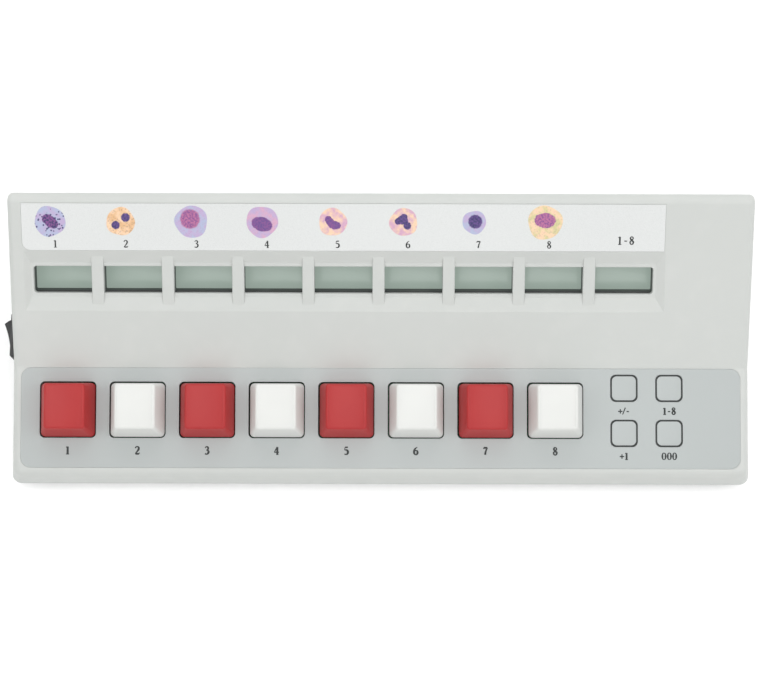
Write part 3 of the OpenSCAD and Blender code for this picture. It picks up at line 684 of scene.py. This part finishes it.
WINDOW_COUNT = 9
LABEL_DIGIT_HEIGHT = 3.4 * MM
LABEL_DIGIT_SHIFT = -2.6 * MM
LABEL_DIGIT_Y = -7.6 * MM
SUM_HEIGHT = 3.8 * MM
SUM_Y = -5.6 * MM
label_face = face_frame("label_strip")
window_x = [spot_on(label_face, f"lcd_{number}")[0] for number in range(1, WINDOW_COUNT + 1)]
for number, x in enumerate(window_x[:KEY_COUNT], 1):
    place = (x + LABEL_DIGIT_SHIFT, LABEL_DIGIT_Y)
    name = f"label_digit_{number}"
    print_on(label_face, str(number), name, *place, LABEL_DIGIT_HEIGHT, weight=1.2)
place = (window_x[-1], SUM_Y)
print_on(label_face, "1-8", "label_sum", *place, SUM_HEIGHT, spacing=0.7, weight=1.25)


# ---------------------------------------------------------------- Display
# Nine liquid-crystal cells, each of two glass plates under a grey-green polariser,
# held down on the board by a moulded black mask that shades the window's sides.

GLASS_WIDTH = 28.4 * MM
GLASS_LOWER_LENGTH = 14.6 * MM
GLASS_UPPER_LENGTH = 13 * MM
GLASS_PLATE = 1.25 * MM
POLARISER = 0.3 * MM
POLARISER_MARGIN = 0.6 * MM
MASK_WIDTH = 29.8 * MM
MASK_LENGTH = 16.2 * MM
MASK_HEIGHT = 8.3 * MM
MASK_OPENING = (26.0 * MM, 11.8 * MM)
MASK_POCKET = (28.6 * MM, 14.8 * MM)
MASK_CHAMFER = 0.3 * MM


def glass_edge(name):
    """Clear glass seen as a pale green body at its ground edges."""
    finish = Finish(name, IOR=1.52, Coat_Weight=0.5)
    ground_marks = finish.cloud(0.2 * MM)
    green = finish.mixed(ground_marks, srgb(104, 122, 112), srgb(128, 146, 136))
    finish.feed("Base Color", green)
    finish.feed("Roughness", 0.25 + ground_marks * 0.3)
    finish.surface(ground_marks, 0.005 * MM)
    return finish.material


def polariser(name):
    """Grey-green polarising film over the cell, with a weak painted glow that fills in the
    window's shade.
    """
    # Painted light: this emission is no backlight. It lights the cell as if the deep window
    # cast no shade on it, and the base colour is darker to suit.
    finish = Finish(name, IOR=1.5, Coat_Roughness=0.12, Emission_Strength=0.57)
    cloud = finish.cloud(12 * MM, detail=1.0)
    fine = finish.cloud(0.6 * MM, detail=1.0)
    finish.feed("Base Color", finish.mixed(cloud, srgb(82, 93, 86), srgb(88, 98, 92)))
    finish.feed("Emission Color", finish.mixed(cloud, srgb(170, 187, 176), srgb(177, 192, 182)))
    finish.feed("Roughness", 0.30 + (fine - 0.5) * 0.08)
    finish.feed("Coat Weight", 0.3 + 0.1 * cloud)
    finish.surface(fine, 0.002 * MM)
    return finish.material


def step_in(wide, narrow, rise=0.0):
    """Turns the raised face's outline from one (width, length) into another."""
    raise_face(rise, scale=(narrow[0] / wide[0], narrow[1] / wide[1], 1))


def glass_master():
    """One cell with its foot at z = 0: lower plate, shorter upper plate, polariser."""
    lower = (GLASS_WIDTH, GLASS_LOWER_LENGTH)
    upper = (GLASS_WIDTH, GLASS_UPPER_LENGTH)
    film = (GLASS_WIDTH - 2 * POLARISER_MARGIN, GLASS_UPPER_LENGTH - 2 * POLARISER_MARGIN)
    cell = rounded_plate("glass_master", *lower, 0.2 * MM, 0, 2)
    raise_face(GLASS_PLATE)
    step_in(lower, upper)
    raise_face(GLASS_PLATE)
    step_in(upper, film)
    raise_face(POLARISER)
    pick("EDGE", lambda edge: level_edge(edge, 2 * GLASS_PLATE + POLARISER))
    bpy.ops.mesh.bevel(offset=0.08 * MM, segments=2, profile=0.5)
    finish_mesh(cell)
    return cell


def mask_master():
    """One mask with its foot at z = 0: a tube with a ledge that holds the glass down."""
    outer = (MASK_WIDTH, MASK_LENGTH)
    mouth = tuple(side + 2 * MASK_CHAMFER for side in MASK_OPENING)
    glass_top = 2 * GLASS_PLATE + POLARISER
    mask = rounded_plate("mask_master", *outer, 0.6 * MM, 0, 4)
    raise_face(MASK_HEIGHT)
    step_in(outer, mouth)
    step_in(mouth, MASK_OPENING, -MASK_CHAMFER)
    raise_face(glass_top + MASK_CHAMFER - MASK_HEIGHT)
    step_in(MASK_OPENING, MASK_POCKET)
    raise_face(-glass_top)
    pick("FACE", lambda face: face.calc_center_median().z < TOUCH)
    bpy.ops.mesh.delete(type="FACE")
    pick("EDGE", lambda edge: level_edge(edge, 0))
    bpy.ops.mesh.bridge_edge_loops()
    finish_mesh(mask)
    return mask


lcd_film_painted_glow = polariser("lcd_film_painted_glow")
lcd_glass = glass_edge("lcd_glass")
glass = glass_master()
mask = mask_master()
for number in range(1, WINDOW_COUNT + 1):
    low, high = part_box(f"lcd_{number}")
    middle = label_face.inverted() @ ((low + high) / 2)
    foot = on_face(label_face, middle.x, middle.y, middle.z - MASK_HEIGHT / 2)
    cell = copy_of(glass, f"lcd_cell_{number}", lcd_glass)
    cell.data.materials.append(lcd_film_painted_glow)
    for face in cell.data.polygons:
        face.material_index = 1 if face.center.z > 2 * GLASS_PLATE + POLARISER / 2 else 0
    frame_piece = copy_of(mask, f"lcd_mask_{number}", black_nylon)
    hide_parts(f"lcd_{number}")
    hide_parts(f"lcd_{number}")
    settle(cell, foot)
    settle(frame_piece, foot)
bpy.data.objects.remove(glass)
bpy.data.objects.remove(mask)


# ---------------------------------------------------------------- Stained cells
# Eight small round pictures on the label, one over each counting window: thin prints
# of invented stained cells, each laid out in its own way, with violet nuclei in
# bodies of pink, cream and lilac.

ROUNDEL_LIFT = 0.01 * MM
ROUNDEL_SHIFT = -4.6 * MM
ROUNDEL_Y = 2.4 * MM
CREAM = srgb(228, 196, 164)
AMBER = srgb(212, 170, 126)
OLIVE = srgb(196, 190, 140)
PINK = srgb(198, 156, 180)
LILAC = srgb(176, 158, 192)
SKY = srgb(164, 172, 198)
VIOLET = srgb(92, 64, 128)
PLUM = srgb(124, 72, 132)
INDIGO = srgb(46, 42, 92)
ROSE = srgb(176, 104, 142)
# Each cell: radius in mm, body colours, nucleus colours, nucleus lobes as x, y and
# radius in mm, and the size of its granules in mm with their share
CELLS = [
    (6.8, (SKY, LILAC), (PLUM, INDIGO), [(-1.2, 1.0, 2.2), (1.6, -1.2, 2.0)], (1.3, 0.9)),
    (6.3, (CREAM, AMBER), (VIOLET, INDIGO), [(-2.2, -1.6, 1.8), (2.2, 1.8, 1.9)], (0.9, 0.3)),
    (7.2, (LILAC, SKY), (PLUM, ROSE), [(-0.6, 1.2, 4.2)], (0.9, 0.2)),
    (7.0, (LILAC, PINK), (VIOLET, PLUM), [(-2.0, -0.5, 2.6), (1.8, -1.6, 2.6)], (0.8, 0.10)),
    (
        6.2,
        (CREAM, PINK),
        (PLUM, VIOLET),
        [(-2.0, 1.2, 1.5), (-0.4, -1.2, 1.6), (2.0, -1.6, 1.5)],
        (0.7, 0.10),
    ),
    (
        6.2,
        (PINK, CREAM),
        (VIOLET, INDIGO),
        [(-2.4, 0.4, 1.5), (0.2, 2.2, 1.5), (1.6, -1.6, 1.7)],
        (0.6, 0.12),
    ),
    (5.2, (SKY, LILAC), (INDIGO, VIOLET), [(0.4, 0.3, 3.0)], (0.8, 0.05)),
    (7.6, (CREAM, OLIVE), (ROSE, PLUM), [(-1.8, 1.0, 2.8), (2.0, 0.8, 2.6)], (0.9, 0.18)),
]


def stained_print(number, place, body, nucleus, lobes, granules):
    """Print of one stained cell: a mottled body, a lobed nucleus and granules."""
    finish = Finish(f"stain_{number}", IOR=1.5)
    centre = place.to_translation()
    turn = place.to_3x3().to_euler()
    turned = finish.node(
        "ShaderNodeMapping",
        {"vector_type": "TEXTURE"},
        {"Vector": finish.place, "Location": centre, "Rotation": turn},
    )
    speck = finish.cloud(0.9 * MM, 3.0, turned)
    wash = finish.cloud(3.5 * MM, 2.0, turned)
    cytoplasm = finish.mixed(wash.rising(0.35, 0.65), body[0], body[1])
    swell = 0.0
    for x, y, radius in lobes:
        apart = finish.node(
            "ShaderNodeVectorMath",
            {"operation": "DISTANCE"},
            {0: turned, 1: (x * MM, y * MM, 0)},
            out="Value",
        )
        near = 1 - apart * (1 / (1.9 * radius * MM))
        swell = near.clamped() + swell
    swell = swell + (speck - 0.5) * 0.22
    core = swell.rising(0.40, 0.52)
    chromatin = finish.mixed(speck.rising(0.40, 0.62), nucleus[0], nucleus[1])
    stained = finish.mixed(core, cytoplasm, chromatin)
    size, share = granules
    dots = finish.node(
        "ShaderNodeTexVoronoi",
        {"feature": "F1"},
        {"Vector": turned, "Scale": 1 / (size * MM), "Randomness": 0.9},
    )
    grains = (dots < 0.34) * share
    stained = finish.mixed(grains.clamped(), stained, nucleus[1])
    finish.feed("Base Color", stained)
    finish.feed("Roughness", 0.28 + speck * 0.1)
    finish.surface(speck, 0.003 * MM)
    return finish.material


def cell_disc(name, radius, seed):
    """Thin disc with a gently uneven rim."""
    bpy.ops.object.select_all(action="DESELECT")
    bpy.ops.mesh.primitive_circle_add(vertices=72, radius=radius, fill_type="NGON")
    disc = bpy.context.object
    disc.name = name
    for corner in disc.data.vertices:
        turn = math.atan2(corner.co.y, corner.co.x)
        wave = 0.035 * math.sin(3 * turn + seed) + 0.02 * math.sin(5 * turn + 2.3 * seed)
        corner.co *= 1 + wave
    apply_modifier(disc, "SOLIDIFY", thickness=ROUNDEL_LIFT, offset=1)
    return disc


for number, (radius, body, nucleus, lobes, granules) in enumerate(CELLS, 1):
    place = on_face(label_face, window_x[number - 1] + ROUNDEL_SHIFT, ROUNDEL_Y)
    disc = cell_disc(f"roundel_{number}", radius * MM, 1.7 * number)
    disc.data.materials.append(stained_print(number, place, body, nucleus, lobes, granules))
    settle(disc, place)


# ---------------------------------------------------------------- Rocker
# Power rocker of black nylon: a frame snapped into the left wall, and the rocker that
# swings in it about an upright pivot.

dress("rocker_frame", black_nylon)
dress("rocker", black_nylon)


# ---------------------------------------------------------------- Boards
# Two circuit boards of green laminate, screwed down inside the console and joined by
# a flat cable, with four push switches under the film keys.


def laminate(name):
    """Glass-fibre board under a green lacquer, with tracks showing through."""
    finish = Finish(name, IOR=1.5, Coat_Weight=0.4, Coat_Roughness=0.15)
    tracks = finish.node(
        "ShaderNodeTexBrick",
        {"offset": 0.5},
        {"Vector": finish.place, "Scale": 90.0, "Mortar Size": 0.03},
        out="Fac",
    )
    weave = finish.cloud(0.4 * MM)
    green = finish.mixed(weave, srgb(18, 84, 50), srgb(24, 98, 58))
    finish.feed("Base Color", finish.mixed(tracks * 0.5, green, srgb(52, 130, 80)))
    finish.feed("Roughness", 0.35 + weave * 0.1)
    finish.surface(tracks, 0.03 * MM)
    return finish.material


board_laminate = laminate("board_laminate")
dress("key_board", board_laminate)
dress("display_board", board_laminate)
dress("tact_switches", black_nylon)
ribbon_pvc = moulded_plastic(
    "ribbon_pvc",
    colour=srgb(150, 151, 152),
    worn=srgb(160, 161, 162),
    roughness=0.45,
    grain=1.2 * MM,
    depth=0.03 * MM,
    edge=0.0,
)
dress("board_ribbon", ribbon_pvc)


# ---------------------------------------------------------------- Underside
# Four rubber feet in round beds, the battery door, which slides in two grooves of the
# bottom cover, and behind it two jacketed cells between contacts of plated steel.

foot_rubber = moulded_plastic(
    "foot_rubber",
    colour=srgb(36, 36, 37),
    worn=srgb(52, 52, 53),
    roughness=0.8,
    grain=0.5 * MM,
    depth=0.03 * MM,
    edge=0.4 * MM,
)
contact_metal = brushed_steel("contact_metal", srgb(200, 198, 190), 0.22, 0.4 * MM)
cell_jacket = moulded_plastic(
    "cell_jacket",
    colour=srgb(40, 44, 56),
    worn=srgb(48, 52, 64),
    roughness=0.25,
    grain=0.6 * MM,
    depth=0.004 * MM,
    edge=0.3 * MM,
)
dress("rubber_feet", foot_rubber)
dress("battery_door", housing_abs)
dress("battery_cells", cell_jacket)
dress("battery_contacts", contact_metal)


# ---------------------------------------------------------------- Screws
# Eighteen pan-head screws of zinc-plated steel; the six that hold the covers together
# show from below, and each of those has a cross recess pressed in its head.

CASE_SCREW_X = (-150 * MM, 0, 150 * MM)
CASE_SCREW_Y = (-53.5 * MM, 52 * MM)
# Height above the table of the outer faces of their heads
HEAD_FACE = 7.4 * MM
HEAD_ROUND = 0.7 * MM
RECESS_SPAN = 3.2 * MM
RECESS_WIDTH = 0.9 * MM
RECESS_DEPTH = 1.2 * MM
RECESS_TAPER = (0.4, 0.7, 1)


def recess_blades(turn):
    """Cutter with one blade of the cross at each case screw, turned by some degrees."""
    foot = HEAD_FACE - RECESS_DEPTH
    blade = rounded_plate("blade", RECESS_SPAN, RECESS_WIDTH, 0.1 * MM, foot, 2)
    raise_face(RECESS_DEPTH)
    raise_face(RECESS_DEPTH, scale=RECESS_TAPER)
    finish_mesh(blade)
    turned = Matrix.Rotation(math.radians(turn), 4, "Z")
    copies = []
    for x in CASE_SCREW_X:
        for y in CASE_SCREW_Y:
            piece = copy_of(blade, f"blade_{len(copies)}", screw_steel)
            piece.data.transform(Matrix.Translation((x, y, 0)) @ turned)
            copies.append(piece)
    bpy.data.objects.remove(blade)
    only(copies[0])
    for piece in copies:
        piece.select_set(True)
    bpy.ops.object.join()
    return copies[0]


screw_steel = brushed_steel("screw_steel", srgb(176, 178, 182), 0.3, 0.3 * MM)
screw_set = bpy.data.objects.new("screw_set", nodes["screws"].data.copy())
bpy.context.scene.collection.objects.link(screw_set)
screw_set.data.materials.clear()
screw_set.data.materials.append(screw_steel)
only(screw_set)
finish_mesh(screw_set)
bpy.ops.object.mode_set(mode="EDIT")
bpy.ops.mesh.select_all(action="SELECT")
bpy.ops.mesh.dissolve_limited(angle_limit=math.radians(1))
pick("EDGE", lambda edge: level_edge(edge, HEAD_FACE))
bpy.ops.mesh.bevel(offset=HEAD_ROUND, segments=4, profile=0.5)
bpy.ops.object.mode_set(mode="OBJECT")
for turn in (0, 90):
    cutter = recess_blades(turn)
    apply_modifier(screw_set, "BOOLEAN", object=cutter, operation="DIFFERENCE", solver="EXACT")
    bpy.data.objects.remove(cutter)
only(screw_set)
finish_mesh(screw_set)
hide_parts("screws")
settle(screw_set, Matrix.Identity(4))


# ---------------------------------------------------------------- Studio
# White paper ground, an even sky, a soft light overhead and one from each side, and
# the camera above the front edge, looking down at the console.

GROUND_SIZE = 8.0
SKY_STRENGTH = 0.74
CAMERA_PLACE = Vector((-0.0006, -0.1790, 0.8631))
CAMERA_TILT = math.radians(12.2)
CAMERA_ROLL = math.radians(0.14)
CAMERA_LENS = 89.79

bpy.ops.object.select_all(action="DESELECT")
bpy.ops.mesh.primitive_plane_add(size=GROUND_SIZE, location=(0, 0, 0))
ground = bpy.context.object
ground.name = "ground"
paper = Finish("paper", Roughness=0.9)
fibre = paper.cloud(3 * MM)
paper.feed("Base Color", paper.mixed(fibre, srgb(250, 250, 250), srgb(253, 253, 253)))
ground.data.materials.append(paper.material)


def soft_light(name, place, size, power):
    """Rectangular soft light turned to the console's middle."""
    lamp = bpy.data.lights.new(name, "AREA")
    lamp.shape = "RECTANGLE"
    lamp.size = size[0]
    lamp.size_y = size[1]
    lamp.energy = power
    holder = bpy.data.objects.new(name, lamp)
    bpy.context.scene.collection.objects.link(holder)
    holder.location = place
    holder.rotation_euler = (-Vector(place)).to_track_quat("-Z", "Y").to_euler()


soft_light("over_light", (0.0, -0.1, 1.6), (0.9, 0.9), 6)
soft_light("right_light", (1.4, -0.1, 1.1), (1.2, 1.2), 7)
soft_light("back_light", (0.0, 1.2, 1.0), (1.6, 1.0), 7)
soft_light("left_light", (-1.2, -0.1, 1.2), (1.2, 0.8), 4)
soft_light("front_light", (0.0, -1.3, 1.2), (1.4, 0.8), 3.5)

sky = bpy.data.worlds.new("studio_sky")
sky.use_nodes = True
sky.node_tree.nodes["Background"].inputs["Color"].default_value = (1, 1, 1, 1)
sky.node_tree.nodes["Background"].inputs["Strength"].default_value = SKY_STRENGTH
bpy.context.scene.world = sky
bpy.context.scene.view_settings.view_transform = "Standard"

lens = bpy.data.cameras.new("camera")
lens.lens = CAMERA_LENS
lens.sensor_width = 36
lens.clip_start = 0.01
camera = bpy.data.objects.new("camera", lens)
bpy.context.scene.collection.objects.link(camera)
camera.matrix_world = (
    Matrix.Translation(CAMERA_PLACE)
    @ Matrix.Rotation(CAMERA_TILT, 4, "X")
    @ Matrix.Rotation(CAMERA_ROLL, 4, "Z")
)
bpy.context.scene.camera = camera
